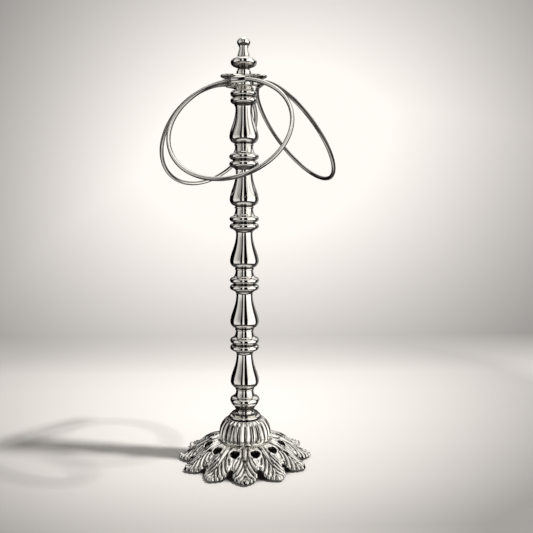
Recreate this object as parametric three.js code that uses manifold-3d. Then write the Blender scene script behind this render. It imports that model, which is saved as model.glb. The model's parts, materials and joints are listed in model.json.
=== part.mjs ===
// Countertop three-ring towel stand: a turned column of five vase balusters on a cast leaf base,
// with three closed wire rings hinged in a small trefoil hub under the finial.
// Millimetres, +Z up. The origin is on the column's axis, in the plane the stand rests on.
import * as THREE from 'three';
import { mergeVertices } from 'three/addons/utils/BufferGeometryUtils.js';
import Module from 'manifold-3d';

const wasm = await Module();
wasm.setup();

// ---- driving dimensions -------------------------------------------------------------------
const SEAM = 0.2;              // gap left between stacked pieces
const ROD_R = 3;               // M6 tie rod
const BORE_R = 3.4;            // clearance bore for the tie rod
const NUT_BORE_R = 3.6;        // corner radius of the nut's six-sided bore
const TURNED_SIDES = 18;       // facets round a turned piece

const MODULE_COUNT = 5;        // balusters in the column
const MODULE_PITCH = 75;       // height of one baluster with its collar
const TOP_COLLAR_Z = 442.4;    // lower disc of the highest collar
const DISC_R = 18;             // collar discs
const DISC_SPACING = 8.8;
const TOP_DISC_R = 16.2;       // the highest collar is a little smaller
const TOP_DISC_SPACING = 8.1;

const RING_COUNT = 3;
const RING_R = 71;             // ring centreline radius: a 6 inch towel ring
const WIRE_R = 2.5;
const PIVOT_R = 20.5;          // column axis to the hinge axis
const PIVOT_Z = 463.5;
const RING_AZIMUTH = -16;      // degrees; 0 is towards -Y, positive towards +X
const RING_TILTS = [33, 35, 38];   // degrees out from vertical, each ring leaning on its neighbours
const RING_STEPS = 44;
const WIRE_SIDES = 8;

const KNUCKLE_HALF = 8.6;      // half length of a hinge barrel
const KNUCKLE_R = 4;
const KNUCKLE_BORE_R = 3.3;
const WEB_WIDTH = 9;           // web between a hinge barrel and the bell
const WEB_HEIGHT = 3.4;
const WEB_DROP = 0.4;          // the web's middle lies this far below the hinge axis
const TURNED_GAP = 0.3;        // gap between a knuckle and the bell it is brazed to
const BELL_R = 10.4;

const LEAF_COUNT = 12;
const LEAF_ROOT_R = 31.5;
const LEAF_TIP_R = 83;
const LEAF_SPLIT_R = 60;       // the leaves are joined along their sides inside this radius
const LEAF_NOTCH_R = 62.8;
const LEAF_THICKNESS = 2.8;
const PIERCING_R = 5.8;
const PIERCING_SIDES = 12;
const PIERCING_PITCH_R = 47;
const FLUTE_COUNT = 28;

const BALLAST_R = 44;
const NUT_RECESS_R = 8.4;
const NUT_RECESS_TOP = 8.2;
const PAD_R = 43;

// ---- materials ----------------------------------------------------------------------------
function finish(name, color, metalness, roughness) {
  return new THREE.MeshStandardMaterial({ name, color, metalness, roughness });
}
const nickel = finish('polished_nickel', 0xc9c6c0, 1, 0.12);
const steel = finish('zinc_steel', 0x9a9c9e, 1, 0.4);
const iron = finish('black_iron', 0x26272a, 0.6, 0.7);
const felt = finish('black_felt', 0x1c1d1f, 0, 0.95);

const radians = THREE.MathUtils.degToRad;

// ---- geometry helpers ---------------------------------------------------------------------
// Welds a geometry to positions only, drops collapsed triangles and turns it to face outwards.
function solid(geometry) {
  const bare = new THREE.BufferGeometry();
  bare.setAttribute('position', geometry.getAttribute('position').clone());
  const count = bare.getAttribute('position').count;
  bare.setIndex(geometry.getIndex() ? Array.from(geometry.getIndex().array) : [...Array(count).keys()]);
  const welded = mergeVertices(bare, 1e-4);
  const index = Array.from(welded.getIndex().array);
  const kept = [];
  for (let i = 0; i < index.length; i += 3) {
    const [a, b, c] = index.slice(i, i + 3);
    if (a !== b && b !== c && c !== a) {
      kept.push(a, b, c);
    }
  }
  welded.setIndex(signedVolume(welded, kept) < 0 ? kept.reverse() : kept);
  return welded;
}

function signedVolume(geometry, index) {
  const position = geometry.getAttribute('position');
  const [a, b, c] = [new THREE.Vector3(), new THREE.Vector3(), new THREE.Vector3()];
  let volume = 0;
  for (let i = 0; i < index.length; i += 3) {
    a.fromBufferAttribute(position, index[i]);
    b.fromBufferAttribute(position, index[i + 1]);
    c.fromBufferAttribute(position, index[i + 2]);
    volume += a.dot(b.cross(c)) / 6;
  }
  return volume;
}

function toManifold(geometry) {
  const welded = solid(geometry);
  return new wasm.Manifold(new wasm.Mesh({
    numProp: 3,
    vertProperties: new Float32Array(welded.getAttribute('position').array),
    triVerts: new Uint32Array(welded.getIndex().array),
  }));
}

function fromManifold(body) {
  const mesh = body.getMesh();
  const geometry = new THREE.BufferGeometry();
  geometry.setAttribute('position', new THREE.BufferAttribute(new Float32Array(mesh.vertProperties), 3));
  geometry.setIndex(Array.from(mesh.triVerts));
  return geometry;
}

// Points on part of an ellipse, as [radius, height]; angles in degrees, 0 pointing out from the axis.
function arc(centre, reach, rise, from, to, steps) {
  const [r, z] = centre;
  return Array.from({ length: steps + 1 }, (_, i) => {
    const angle = radians(from + ((to - from) * i) / steps);
    return [r + reach * Math.cos(angle), z + rise * Math.sin(angle)];
  });
}

// Points on the smooth curve through a few [radius, height] pairs.
function curve(through, steps) {
  const spline = new THREE.SplineCurve(through.map(([r, z]) => new THREE.Vector2(r, z)));
  return spline.getPoints(steps).map(({ x, y }) => [x, y]);
}

// Turned solid from [radius, height] pairs; the outline ends on the axis or closes on itself.
function turned(outline, sides = TURNED_SIDES) {
  const points = outline.map(([r, z]) => new THREE.Vector2(r, z));
  return new THREE.LatheGeometry(points, sides).rotateX(Math.PI / 2);
}

// Turned solid with a bore through it: the outline of the outside, from bottom to top.
function bored(outside, boreR = BORE_R, sides = TURNED_SIDES) {
  const bottom = [boreR, outside[0][1]];
  const top = [boreR, outside[outside.length - 1][1]];
  return turned([bottom, ...outside, top, bottom], sides);
}

// Ring-shaped solid whose outline changes round the axis: outlineAt(angle) gives the closed outline.
function swept(outlineAt, steps) {
  const vertices = [];
  const triangles = [];
  let rows = 0;
  for (let j = 0; j < steps; j += 1) {
    const angle = (j / steps) * 2 * Math.PI;
    const outline = outlineAt(angle);
    rows = outline.length;
    outline.forEach(([r, z]) => vertices.push(r * Math.sin(angle), -r * Math.cos(angle), z));
  }
  for (let j = 0; j < steps; j += 1) {
    for (let i = 0; i < rows; i += 1) {
      const a = j * rows + i;
      const b = j * rows + ((i + 1) % rows);
      const c = ((j + 1) % steps) * rows + i;
      const d = ((j + 1) % steps) * rows + ((i + 1) % rows);
      triangles.push(a, b, c, b, d, c);
    }
  }
  const geometry = new THREE.BufferGeometry();
  geometry.setAttribute('position', new THREE.Float32BufferAttribute(vertices, 3));
  geometry.setIndex(triangles);
  return geometry;
}

// Straight-line interpolation in a table of [x, y] pairs.
function interpolate(table, x) {
  for (let i = 1; i < table.length; i += 1) {
    const [x0, y0] = table[i - 1];
    const [x1, y1] = table[i];
    if (x <= x1) {
      return y0 + ((y1 - y0) * (x - x0)) / (x1 - x0);
    }
  }
  return table[table.length - 1][1];
}

// Distance from the nearest of `count` evenly spaced directions, in degrees.
function degreesFromNearest(angle, count) {
  const pitch = 360 / count;
  const degrees = THREE.MathUtils.euclideanModulo(THREE.MathUtils.radToDeg(angle), pitch);
  return Math.min(degrees, pitch - degrees);
}

const stand = new THREE.Group();
stand.name = 'three_ring_towel_stand';

function add(name, geometry, material, parent = stand) {
  const mesh = new THREE.Mesh(solid(geometry), material);
  mesh.name = name;
  parent.add(mesh);
  return mesh;
}

// ---- column -------------------------------------------------------------------------------
// A collar and the baluster under it are drawn with the collar's lower disc at height 0.
const COLLAR_BOTTOM = -5.4;
const COLLAR_TOP = 14.4;
const COLLAR_TOP_R = 12.4;

function disc(r, z) {
  return arc([r - 3.8, z], 3.8, 4.2, -75, 75, 4);
}

function collar(discR, spacing) {
  const discs = [...disc(discR, 0), ...disc(discR, spacing)];
  return bored([[11.4, COLLAR_BOTTOM], ...discs, [COLLAR_TOP_R, COLLAR_TOP]]);
}

function baluster() {
  const foot = [[11.9, COLLAR_TOP - MODULE_PITCH + SEAM], [11, -55], [10.6, -53.4], [12, -51.9]];
  const bulb = curve([[11.6, -50.9], [17, -46], [16.6, -35.9], [11.3, -19.4], [10.3, -8.5]], 8);
  return bored([...foot, ...bulb, [11.4, COLLAR_BOTTOM - SEAM]]);
}

for (let k = 0; k < MODULE_COUNT; k += 1) {
  const z = TOP_COLLAR_Z - k * MODULE_PITCH;
  const shape = k === 0 ? collar(TOP_DISC_R, TOP_DISC_SPACING) : collar(DISC_R, DISC_SPACING);
  add(`collar_${k + 1}`, shape, nickel).position.z = z;
  add(`baluster_${k + 1}`, baluster(), nickel).position.z = z;
}

// The last collar has one disc, and flares down to the neck over the dome.
const FOOT_COLLAR_Z = TOP_COLLAR_Z - MODULE_COUNT * MODULE_PITCH;
const NECK_TOP = 65.4;

function footCollar() {
  const flare = [[COLLAR_TOP_R, NECK_TOP + SEAM - FOOT_COLLAR_Z], [14.4, 1.6], [16.8, 4.4]];
  const rim = arc([14.6, DISC_SPACING], 3.8, 4.2, -30, 75, 3);
  return bored([...flare, ...rim, [COLLAR_TOP_R, COLLAR_TOP]]);
}
add('foot_collar', footCollar(), nickel).position.z = FOOT_COLLAR_Z;

// ---- base ---------------------------------------------------------------------------------
const CAP_TOP = 59.8;
const DOME_TOP = 53.6;
const DOME_BOTTOM = 27;
const BASE_CROWN = 26.8;       // flat crown of the leaf casting, under the dome
const BASE_UNDER = 22;         // underside of the crown
const BALLAST_BOTTOM = 2;

add('neck_spool', bored([
  [12.2, CAP_TOP + SEAM], [10.9, 61.3], [10.8, 63.2], [12.2, NECK_TOP],
]), nickel);

add('dome_cap', bored([
  [19.2, DOME_TOP + SEAM], [19.7, 55.4], [19.2, 57.1], [17, 57.6], [17.2, 58.8], [16, CAP_TOP],
]), nickel);

// Fluted dome: hollow flutes with narrow ridges between them, which run out under the cap.
function flutedDome() {
  const outline = [[31.4, DOME_BOTTOM], ...arc([17, 33.5], 15.4, 20.2, -10, 78, 5), [19.4, DOME_TOP]];
  const depthAt = [[DOME_BOTTOM, 0.3], [30, 1.3], [47, 1.3], [51, 0.3], [DOME_TOP, 0]];
  const halfPitch = 180 / FLUTE_COUNT;
  return swept((angle) => {
    const across = degreesFromNearest(angle, FLUTE_COUNT) / halfPitch;
    const outside = outline.map(([r, z]) => [r - interpolate(depthAt, z) * (1 - across ** 2), z]);
    return [[BORE_R, DOME_BOTTOM], ...outside, [BORE_R, DOME_TOP]];
  }, FLUTE_COUNT * 4);
}
add('fluted_dome', flutedDome(), nickel);

// Leaf casting: an umbrella of leaves that touch along their sides and end in separate tips.
const LEAF_TOP = [
  [LEAF_ROOT_R, BASE_CROWN], [37, 26.4], [43, 25], [50, 22.2], [57, 18.4], [63, 14.4], [70, 9.8], [77, 6.2],
  [LEAF_TIP_R, 4.6],
];
const LEAF_EDGE_R = [[0, LEAF_TIP_R], [3.75, 81.2], [7.5, 78], [11.25, 71], [15, LEAF_NOTCH_R]];
const LEAF_EDGE_DROP = 2.4;    // how far a leaf's sides lie below its midrib
const LEAF_UNDERCUT = 0.6;     // the underside's rim is this far inside the top's

function leafOutline(angle) {
  const offset = degreesFromNearest(angle, LEAF_COUNT);
  const edgeR = interpolate(LEAF_EDGE_R, offset);
  const side = (offset / (180 / LEAF_COUNT)) ** 2;
  const surface = (r) => {
    const reach = THREE.MathUtils.smoothstep(r, 34, 56);
    return interpolate(LEAF_TOP, r) - LEAF_EDGE_DROP * side * reach;
  };
  const joined = [0, 0.25, 0.5, 0.75, 1].map((t) => LEAF_ROOT_R + t * (LEAF_SPLIT_R - LEAF_ROOT_R));
  const free = [0.35, 0.7, 1].map((t) => LEAF_SPLIT_R + t * (edgeR - LEAF_SPLIT_R));
  const top = [...joined, ...free].map((r) => [r, surface(r)]);
  const under = top.slice(1).map(([r, z]) => [r - LEAF_UNDERCUT, Math.max(z - LEAF_THICKNESS, 0)]).reverse();
  return [[BORE_R, BASE_CROWN], ...top, ...under, [28, BASE_UNDER], [BORE_R, BASE_UNDER]];
}

function leafBase() {
  let body = toManifold(swept(leafOutline, LEAF_COUNT * 8));
  for (let k = 0; k < LEAF_COUNT; k += 1) {
    const angle = radians((k + 0.5) * (360 / LEAF_COUNT));
    const hole = new THREE.CylinderGeometry(PIERCING_R, PIERCING_R, 30, PIERCING_SIDES).rotateX(Math.PI / 2);
    hole.translate(PIERCING_PITCH_R * Math.sin(angle), -PIERCING_PITCH_R * Math.cos(angle), BASE_UNDER);
    body = body.subtract(toManifold(hole));
  }
  return fromManifold(body);
}
add('leaf_base', leafBase(), nickel);

// Ballast disc under the crown, with a recess for the nut, and the felt the stand rests on.
add('ballast_disc', turned([
  [BORE_R, NUT_RECESS_TOP], [NUT_RECESS_R, NUT_RECESS_TOP], [NUT_RECESS_R, BALLAST_BOTTOM],
  [BALLAST_R - 1, BALLAST_BOTTOM], [BALLAST_R, 3], [BALLAST_R, 10], [BALLAST_R - 1, 11],
  [10, 11], [9, BASE_UNDER - SEAM], [BORE_R, BASE_UNDER - SEAM], [BORE_R, NUT_RECESS_TOP],
]), iron);
add('felt_pad', turned([
  [0, 0], [PAD_R, 0], [PAD_R, BALLAST_BOTTOM - SEAM], [0, BALLAST_BOTTOM - SEAM],
]), felt);
add('lock_washer', bored([[7.2, 7], [7.2, 8]]), steel);
add('base_nut', bored([[5.8, 2.6], [5.8, 6.8]], NUT_BORE_R, 6), steel);

// ---- finial and tie rod -------------------------------------------------------------------
const BELL_TOP = 467.4;
const BELL_BOTTOM = TOP_COLLAR_Z + COLLAR_TOP + SEAM;
const PLATE_BOTTOM = BELL_TOP + 0.3;
const PLATE_TOP = 470.4;
const BOSS_TOP = 480.4;
const FINIAL_DISC_TOP = 493.6;
const KNOB_R = 8;
const KNOB_Z = 510.6;
const FINIAL_TOP = 516.4;
const ROD_TOP = 500;

add('tie_rod', turned([[0, 2.6], [ROD_R, 2.6], [ROD_R, ROD_TOP], [0, ROD_TOP]], 12), steel);

add('finial_boss', bored([
  [7.4, PLATE_TOP + SEAM], [8.4, 472.6], [8.8, 475], [8.2, 477.8], [6.8, BOSS_TOP],
]), nickel);

add('finial_disc', bored([
  [7, BOSS_TOP + SEAM], ...arc([9.5, 487.2], 6.2, 6, -65, 65, 4), [8, FINIAL_DISC_TOP],
]), nickel);

add('finial_knob', turned([
  [0, ROD_TOP + 0.5], [BORE_R, ROD_TOP + 0.5],
  [BORE_R, FINIAL_DISC_TOP + SEAM], [7.6, FINIAL_DISC_TOP + SEAM],
  [7.4, 496], [5.4, 502], [5.2, 504.4], [6.3, 506.4],
  ...arc([0, KNOB_Z], KNOB_R, FINIAL_TOP - KNOB_Z, -25, 90, 4),
]), nickel);

// ---- hub ----------------------------------------------------------------------------------
// Trefoil plate: three broad lobes over the gaps between the rings, the rim rounded over.
const LOBE_R = 30.2;
const DIP_R = 13.6;            // at the front and every 120 degrees round from there
const PLATE_RIM = [[0.8, 0], [0.1, 0.7], [0, 1.4], [0.4, 2.2], [1.3, PLATE_TOP - PLATE_BOTTOM]];

function trefoilPlate() {
  return swept((angle) => {
    const reach = (1 - Math.cos(RING_COUNT * angle)) / 2;
    const r = DIP_R + (LOBE_R - DIP_R) * reach ** 0.8;
    const rim = PLATE_RIM.map(([inset, rise]) => [r - inset, PLATE_BOTTOM + rise]);
    return [[BORE_R, PLATE_BOTTOM], ...rim, [BORE_R, PLATE_TOP]];
  }, 36);
}
add('hub_plate', trefoilPlate(), nickel);

add('hub_bell', bored([
  [9.4, BELL_BOTTOM], [10.5, 458.2], [9.6, 459.6], [9.6, 460.4], [BELL_R, 462], [BELL_R, BELL_TOP],
]), nickel);

// Hinge barrel along X with a web towards +Y, which joins it to the bell.
function knuckle() {
  const barrel = new THREE.CylinderGeometry(KNUCKLE_R, KNUCKLE_R, 2 * KNUCKLE_HALF, 16).rotateZ(Math.PI / 2);
  const bore = new THREE.CylinderGeometry(KNUCKLE_BORE_R, KNUCKLE_BORE_R, 4 * KNUCKLE_HALF, 16);
  bore.rotateZ(Math.PI / 2);
  const webStart = (KNUCKLE_BORE_R + KNUCKLE_R) / 2;
  const webEnd = PIVOT_R - BELL_R - TURNED_GAP;
  const web = new THREE.BoxGeometry(WEB_WIDTH, webEnd - webStart, WEB_HEIGHT);
  web.translate(0, (webStart + webEnd) / 2, -WEB_DROP);
  return fromManifold(toManifold(barrel).add(toManifold(web)).subtract(toManifold(bore)));
}

// Closed wire ring in the XZ plane, hanging straight down from the origin.
function towelRing() {
  const section = arc([RING_R, 0], WIRE_R, WIRE_R, 0, 360, WIRE_SIDES);
  const wire = section.map(([r, y]) => new THREE.Vector2(r, y));
  return new THREE.LatheGeometry(wire, RING_STEPS).translate(0, 0, -RING_R);
}

// Each ring and its knuckle share a group turned so that -Y points out from the column.
for (let k = 0; k < RING_COUNT; k += 1) {
  const arm = new THREE.Group();
  arm.rotation.z = radians(RING_AZIMUTH - k * (360 / RING_COUNT));
  stand.add(arm);
  add(`hinge_knuckle_${k + 1}`, knuckle(), nickel, arm).position.set(0, -PIVOT_R, PIVOT_Z);
  const ring = add(`towel_ring_${k + 1}`, towelRing(), nickel, arm);
  ring.position.set(0, -PIVOT_R, PIVOT_Z);
  ring.rotation.x = -radians(RING_TILTS[k]);
}

export default stand;
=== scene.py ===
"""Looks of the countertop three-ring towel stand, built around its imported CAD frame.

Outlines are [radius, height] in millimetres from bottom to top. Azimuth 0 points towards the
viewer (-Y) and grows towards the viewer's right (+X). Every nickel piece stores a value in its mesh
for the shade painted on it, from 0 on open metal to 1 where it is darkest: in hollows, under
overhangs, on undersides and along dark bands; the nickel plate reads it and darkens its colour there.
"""

import json
import math

import bmesh
import bpy
import numpy as np
from mathutils import Matrix, Vector


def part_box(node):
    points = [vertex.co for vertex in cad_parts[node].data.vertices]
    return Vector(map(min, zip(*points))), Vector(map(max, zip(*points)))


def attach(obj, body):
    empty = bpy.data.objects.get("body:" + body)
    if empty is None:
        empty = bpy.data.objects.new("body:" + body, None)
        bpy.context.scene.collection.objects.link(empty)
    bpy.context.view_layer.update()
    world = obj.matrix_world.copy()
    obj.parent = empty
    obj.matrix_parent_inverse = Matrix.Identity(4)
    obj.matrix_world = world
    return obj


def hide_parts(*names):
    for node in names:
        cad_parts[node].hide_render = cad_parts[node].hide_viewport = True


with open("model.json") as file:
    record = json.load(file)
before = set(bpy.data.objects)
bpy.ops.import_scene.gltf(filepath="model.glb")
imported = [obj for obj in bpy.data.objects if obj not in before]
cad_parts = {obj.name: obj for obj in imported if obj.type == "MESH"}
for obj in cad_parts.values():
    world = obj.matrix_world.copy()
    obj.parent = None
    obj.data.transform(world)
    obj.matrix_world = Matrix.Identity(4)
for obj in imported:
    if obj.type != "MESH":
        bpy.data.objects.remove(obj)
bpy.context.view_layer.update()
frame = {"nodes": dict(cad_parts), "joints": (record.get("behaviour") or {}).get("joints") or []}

MM = 0.001
BORE_R = 3.4                       # clearance bore for the tie rod
TURNED_SEGMENTS = 96
SHARP_ANGLE = math.radians(50)
MODULE_COUNT = 5
LEAF_COUNT = 12
FLUTE_COUNT = 28
RING_COUNT = 3
RING_R = 70.85
WIRE_R = 2.45
RING_TILTS = [33.0, 35.0, 38.0]    # degrees out from vertical at rest


# ---- outlines -----------------------------------------------------------------------------
BEND_PER_POINT = math.radians(7)   # a buffed outline keeps a point for each such bend
LONGEST_SPAN = 4.0                 # and one for each such length

# Where shade is painted on an outline: how near the metal beside a hollow lies, how far that metal has
# to stand out for the least and the most painted shade, and how much painted shade that is.
GROOVE_REACH, GROOVE_DEPTHS, GROOVE_SHADE = 4.0, (0.5, 2.4), 0.35
OVERHANG_REACH, OVERHANG_DEPTHS, OVERHANG_SHADE = 2.4, (1.3, 3.2), 0.9


def spline(points, per_span=10):
    """A smooth curve through a few points: centripetal Catmull-Rom."""
    p = [np.array(q, float) for q in points]
    p = [2 * p[0] - p[1]] + p + [2 * p[-1] - p[-2]]
    curve = []
    for i in range(1, len(p) - 2):
        knots = [0.0]
        for a, b in zip(p[i - 1:i + 2], p[i:i + 3]):
            knots.append(knots[-1] + max(np.linalg.norm(b - a), 1e-6) ** 0.5)
        t0, t1, t2, t3 = knots
        for t in np.linspace(t1, t2, per_span, endpoint=False):
            a1 = ((t1 - t) * p[i - 1] + (t - t0) * p[i]) / (t1 - t0)
            a2 = ((t2 - t) * p[i] + (t - t1) * p[i + 1]) / (t2 - t1)
            a3 = ((t3 - t) * p[i + 1] + (t - t2) * p[i + 2]) / (t3 - t2)
            b1 = ((t2 - t) * a1 + (t - t0) * a2) / (t2 - t0)
            b2 = ((t3 - t) * a2 + (t - t1) * a3) / (t3 - t1)
            curve.append(((t2 - t) * b1 + (t - t1) * b2) / (t2 - t1))
    return curve + [p[-2]]


def arc(r, z, reach, rise, start, end, count=14):
    """Part of an ellipse; angles in degrees, 0 pointing out from the axis."""
    angles = np.radians(np.linspace(start, end, count))
    return [np.array([r + reach * math.cos(a), z + rise * math.sin(a)]) for a in angles]


def distances(line):
    """Distance along a line to each of its points."""
    return np.r_[0, np.cumsum(np.hypot(*np.diff(line, axis=0).T))]


def resampled(points, step):
    """The same line at even steps."""
    p = np.array(points, float)
    along = distances(p)
    even = np.linspace(0, along[-1], max(int(along[-1] / step), 4) + 1)
    return np.c_[np.interp(even, along, p[:, 0]), np.interp(even, along, p[:, 1])]


def buffed(points, step=0.25, rounds=3):
    """The outline with its corners buffed round and only as many points as its bends need."""
    p = resampled(points, step)
    for _ in range(rounds):
        p[1:-1] = (p[:-2] + 2 * p[1:-1] + p[2:]) / 4
    directions = np.diff(p, axis=0)
    headings = np.unwrap(np.arctan2(directions[:, 1], directions[:, 0]))
    kept, turned_by, travelled = [0], 0.0, 0.0
    for i in range(1, len(p) - 1):
        turned_by += abs(headings[i] - headings[i - 1])
        travelled += step
        if turned_by > BEND_PER_POINT or travelled > LONGEST_SPAN:
            kept.append(i)
            turned_by, travelled = 0.0, 0.0
    return p[kept + [len(p) - 1]]


def smoothstep(x, low, high):
    t = np.clip((x - low) / (high - low), 0, 1)
    return t * t * (3 - 2 * t)


def blend(first, second, share):
    return first * (1 - share) + second * share


def painted_shade_along(outline):
    """Painted shade from 0 to 1: a little in the grooves of an outline, a lot right under its overhangs."""
    r, z = outline.T
    grooves, overhangs = [], []
    for i in range(len(r)):
        below = r[:i + 1][z[:i + 1] > z[i] - GROOVE_REACH].max(initial=r[i])
        above = r[i:][z[i:] < z[i] + GROOVE_REACH].max(initial=r[i])
        near = r[i:][z[i:] < z[i] + OVERHANG_REACH].max(initial=r[i])
        grooves.append(min(below, above) - r[i])
        overhangs.append(near - r[i])
    in_groove = GROOVE_SHADE * smoothstep(np.array(grooves), *GROOVE_DEPTHS)
    under = OVERHANG_SHADE * smoothstep(np.array(overhangs), *OVERHANG_DEPTHS)
    return np.maximum(in_groove, under)


# ---- meshes -------------------------------------------------------------------------------
SEAM_FADE = (0.5, 1.1)             # a seam's painted shade fades over these distances from the piece's end


def linked(name, mesh):
    obj = bpy.data.objects.new(name, mesh)
    bpy.context.scene.collection.objects.link(obj)
    return obj


def smooth(mesh):
    mesh.polygons.foreach_set("use_smooth", [True] * len(mesh.polygons))
    mesh.set_sharp_from_angle(angle=SHARP_ANGLE)


def from_bmesh(name, work):
    """An object with the faces of a bmesh, which is used up."""
    mesh = bpy.data.meshes.new(name)
    work.to_mesh(mesh)
    work.free()
    return linked(name, mesh)


def piece(name, vertices, faces):
    """A smooth-shaded mesh object from vertices in metres."""
    mesh = bpy.data.meshes.new(name)
    mesh.from_pydata([tuple(v) for v in vertices], [], faces)
    mesh.validate()
    work = bmesh.new()
    work.from_mesh(mesh)
    bmesh.ops.recalc_face_normals(work, faces=work.faces)
    work.to_mesh(mesh)
    work.free()
    smooth(mesh)
    return linked(name, mesh)


def store_recess(mesh, values, domain="POINT"):
    """Stores how much shade is painted at each point or corner, from 0 to 1."""
    attribute = mesh.attributes.new("recess", "FLOAT", domain)
    attribute.data.foreach_set("value", np.asarray(values, np.float32))


def revolved(name, outline, recess, segments=TURNED_SEGMENTS, closed=True, place=Matrix.Identity(4)):
    """Turns an outline round Z; a closed outline joins its two ends. Points on the axis become poles."""
    vertices, painted_shade_values, rings = [], [], []
    for (r, z), depth in zip(outline, recess):
        count = 1 if r < 1e-6 else segments
        rings.append([len(vertices) + j for j in range(count)])
        painted_shade_values += [depth] * count
        for j in range(count):
            a = 2 * math.pi * j / segments
            vertices.append(place @ Vector((r * math.sin(a), -r * math.cos(a), z)) * MM)
    pairs = list(zip(rings, rings[1:]))
    if closed:
        pairs.append((rings[-1], rings[0]))
    faces = []
    for low, high in pairs:
        for j in range(segments):
            k = (j + 1) % segments
            corners = [low[j % len(low)], low[k % len(low)], high[k % len(high)], high[j % len(high)]]
            unique = list(dict.fromkeys(corners))
            if len(unique) > 2:
                faces.append(unique)
    obj = piece(name, vertices, faces)
    store_recess(obj.data, painted_shade_values)
    return obj


def bored(name, outside, lift=0.0, seam=0.0):
    """A turned piece with the tie rod's bore through it. `seam` is the painted shade at its two ends."""
    p = buffed(outside) + [0, lift]
    to_end = np.minimum(p[:, 1] - p[0][1], p[-1][1] - p[:, 1])
    depths = np.maximum(painted_shade_along(p), seam * (1 - smoothstep(to_end, *SEAM_FADE)))
    return revolved(name, [[BORE_R, p[0][1]], *p, [BORE_R, p[-1][1]]], [0, *depths, 0])


def swept(name, outlines, angles):
    """A ring-shaped solid from an array of closed outlines, one at each angle round the axis."""
    steps, rows = outlines.shape[:2]
    r, z = outlines[:, :, 0], outlines[:, :, 1]
    xyz = np.stack([r * np.sin(angles)[:, None], -r * np.cos(angles)[:, None], z], axis=-1)
    j, i = np.meshgrid(np.arange(steps), np.arange(rows), indexing="ij")
    j2, i2 = (j + 1) % steps, (i + 1) % rows
    faces = np.stack([j * rows + i, j2 * rows + i, j2 * rows + i2, j * rows + i2], axis=-1)
    return piece(name, xyz.reshape(-1, 3) * MM, faces.reshape(-1, 4).tolist())


def even_angles(steps):
    return np.arange(steps) * 2 * math.pi / steps


def between(start, outlines, end):
    """Outlines with one more point before and after each."""
    steps = len(outlines)
    first, last = (np.broadcast_to(np.array([[p]], float), (steps, 1, 2)) for p in (start, end))
    return np.concatenate([first, outlines, last], axis=1)


def boolean(obj, other, operation):
    """Cuts or joins two solids and removes the second."""
    modifier = obj.modifiers.new(operation.lower(), "BOOLEAN")
    modifier.operation = operation
    modifier.solver = "EXACT"
    modifier.object = other
    depsgraph = bpy.context.evaluated_depsgraph_get()
    result = bpy.data.meshes.new_from_object(obj.evaluated_get(depsgraph))
    obj.modifiers.clear()
    obj.data = result
    bpy.data.objects.remove(other)
    smooth(obj.data)


def finished(obj, node, material, body="stand"):
    """Gives a piece its material and its body, and hides the CAD node that it stands for."""
    obj.data.materials.clear()
    obj.data.materials.append(material)
    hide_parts(node)
    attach(obj, body)


# ---- materials ----------------------------------------------------------------------------
ALL_ROUND = (1, 1, 1)              # noise that isn't stretched


class Tree:
    """Short spellings for building a node tree."""

    def __init__(self, tree):
        self.tree = tree

    def add(self, kind, **settings):
        node = self.tree.nodes.new("ShaderNode" + kind)
        for key, value in settings.items():
            if hasattr(node, key):
                setattr(node, key, value)
            else:
                node.inputs[key.replace("_", " ")].default_value = value
        return node

    def feed(self, value, socket):
        """Links a node's output to a socket, or sets the socket to a number or colour."""
        if isinstance(value, bpy.types.NodeSocket):
            self.tree.links.new(value, socket)
        elif isinstance(value, tuple):
            socket.default_value = (*value, 1.0)
        else:
            socket.default_value = value

    def math(self, operation, *values):
        node = self.add("Math", operation=operation)
        for value, socket in zip(values, node.inputs):
            self.feed(value, socket)
        return node.outputs[0]

    def vector(self, operation, source, fixed=(0, 0, 0)):
        """Vector arithmetic between an output and a fixed vector."""
        node = self.add("VectorMath", operation=operation)
        self.feed(source, node.inputs[0])
        node.inputs[1].default_value = fixed
        return node.outputs["Value" if operation in ("DOT_PRODUCT", "LENGTH") else "Vector"]

    def xyz(self, source):
        split = self.add("SeparateXYZ")
        self.feed(source, split.inputs["Vector"])
        return split.outputs

    def ramp(self, source, low, high, to_low, to_high):
        node = self.add("MapRange", From_Min=low, From_Max=high, To_Min=to_low, To_Max=to_high)
        self.feed(source, node.inputs["Value"])
        return node.outputs["Result"]

    def mix(self, factor, first, second):
        node = self.add("Mix", data_type="RGBA")
        colours = [socket for socket in node.inputs if socket.type == "RGBA"]
        self.feed(first, colours[0])
        self.feed(second, colours[1])
        self.feed(factor, node.inputs[0])
        return next(socket for socket in node.outputs if socket.type == "RGBA")

    def levels(self, source, stops, tint=(1.0, 1.0, 1.0)):
        """Brightness along a line of (position, brightness) stops."""
        first, last = stops[0][0], stops[-1][0]
        node = self.add("ValToRGB")
        elements = node.color_ramp.elements
        while len(elements) < len(stops):
            elements.new(0.5)
        for element, (position, level) in zip(elements, stops):
            element.position = (position - first) / (last - first)
            element.color = (*(level * t for t in tint), 1)
        self.feed(self.ramp(source, first, last, 0, 1), node.inputs["Fac"])
        return node.outputs["Color"]

    def noise(self, stretch, scale, detail=4.0, roughness=0.55):
        """Noise in the object's own coordinates, stretched by a scale for each axis."""
        mapping = self.add("Mapping")
        mapping.inputs["Scale"].default_value = stretch
        self.feed(self.add("TexCoord").outputs["Object"], mapping.inputs["Vector"])
        node = self.add("TexNoise", Scale=scale, Detail=detail, Roughness=roughness)
        self.feed(mapping.outputs["Vector"], node.inputs["Vector"])
        return node.outputs["Fac"]


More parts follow.
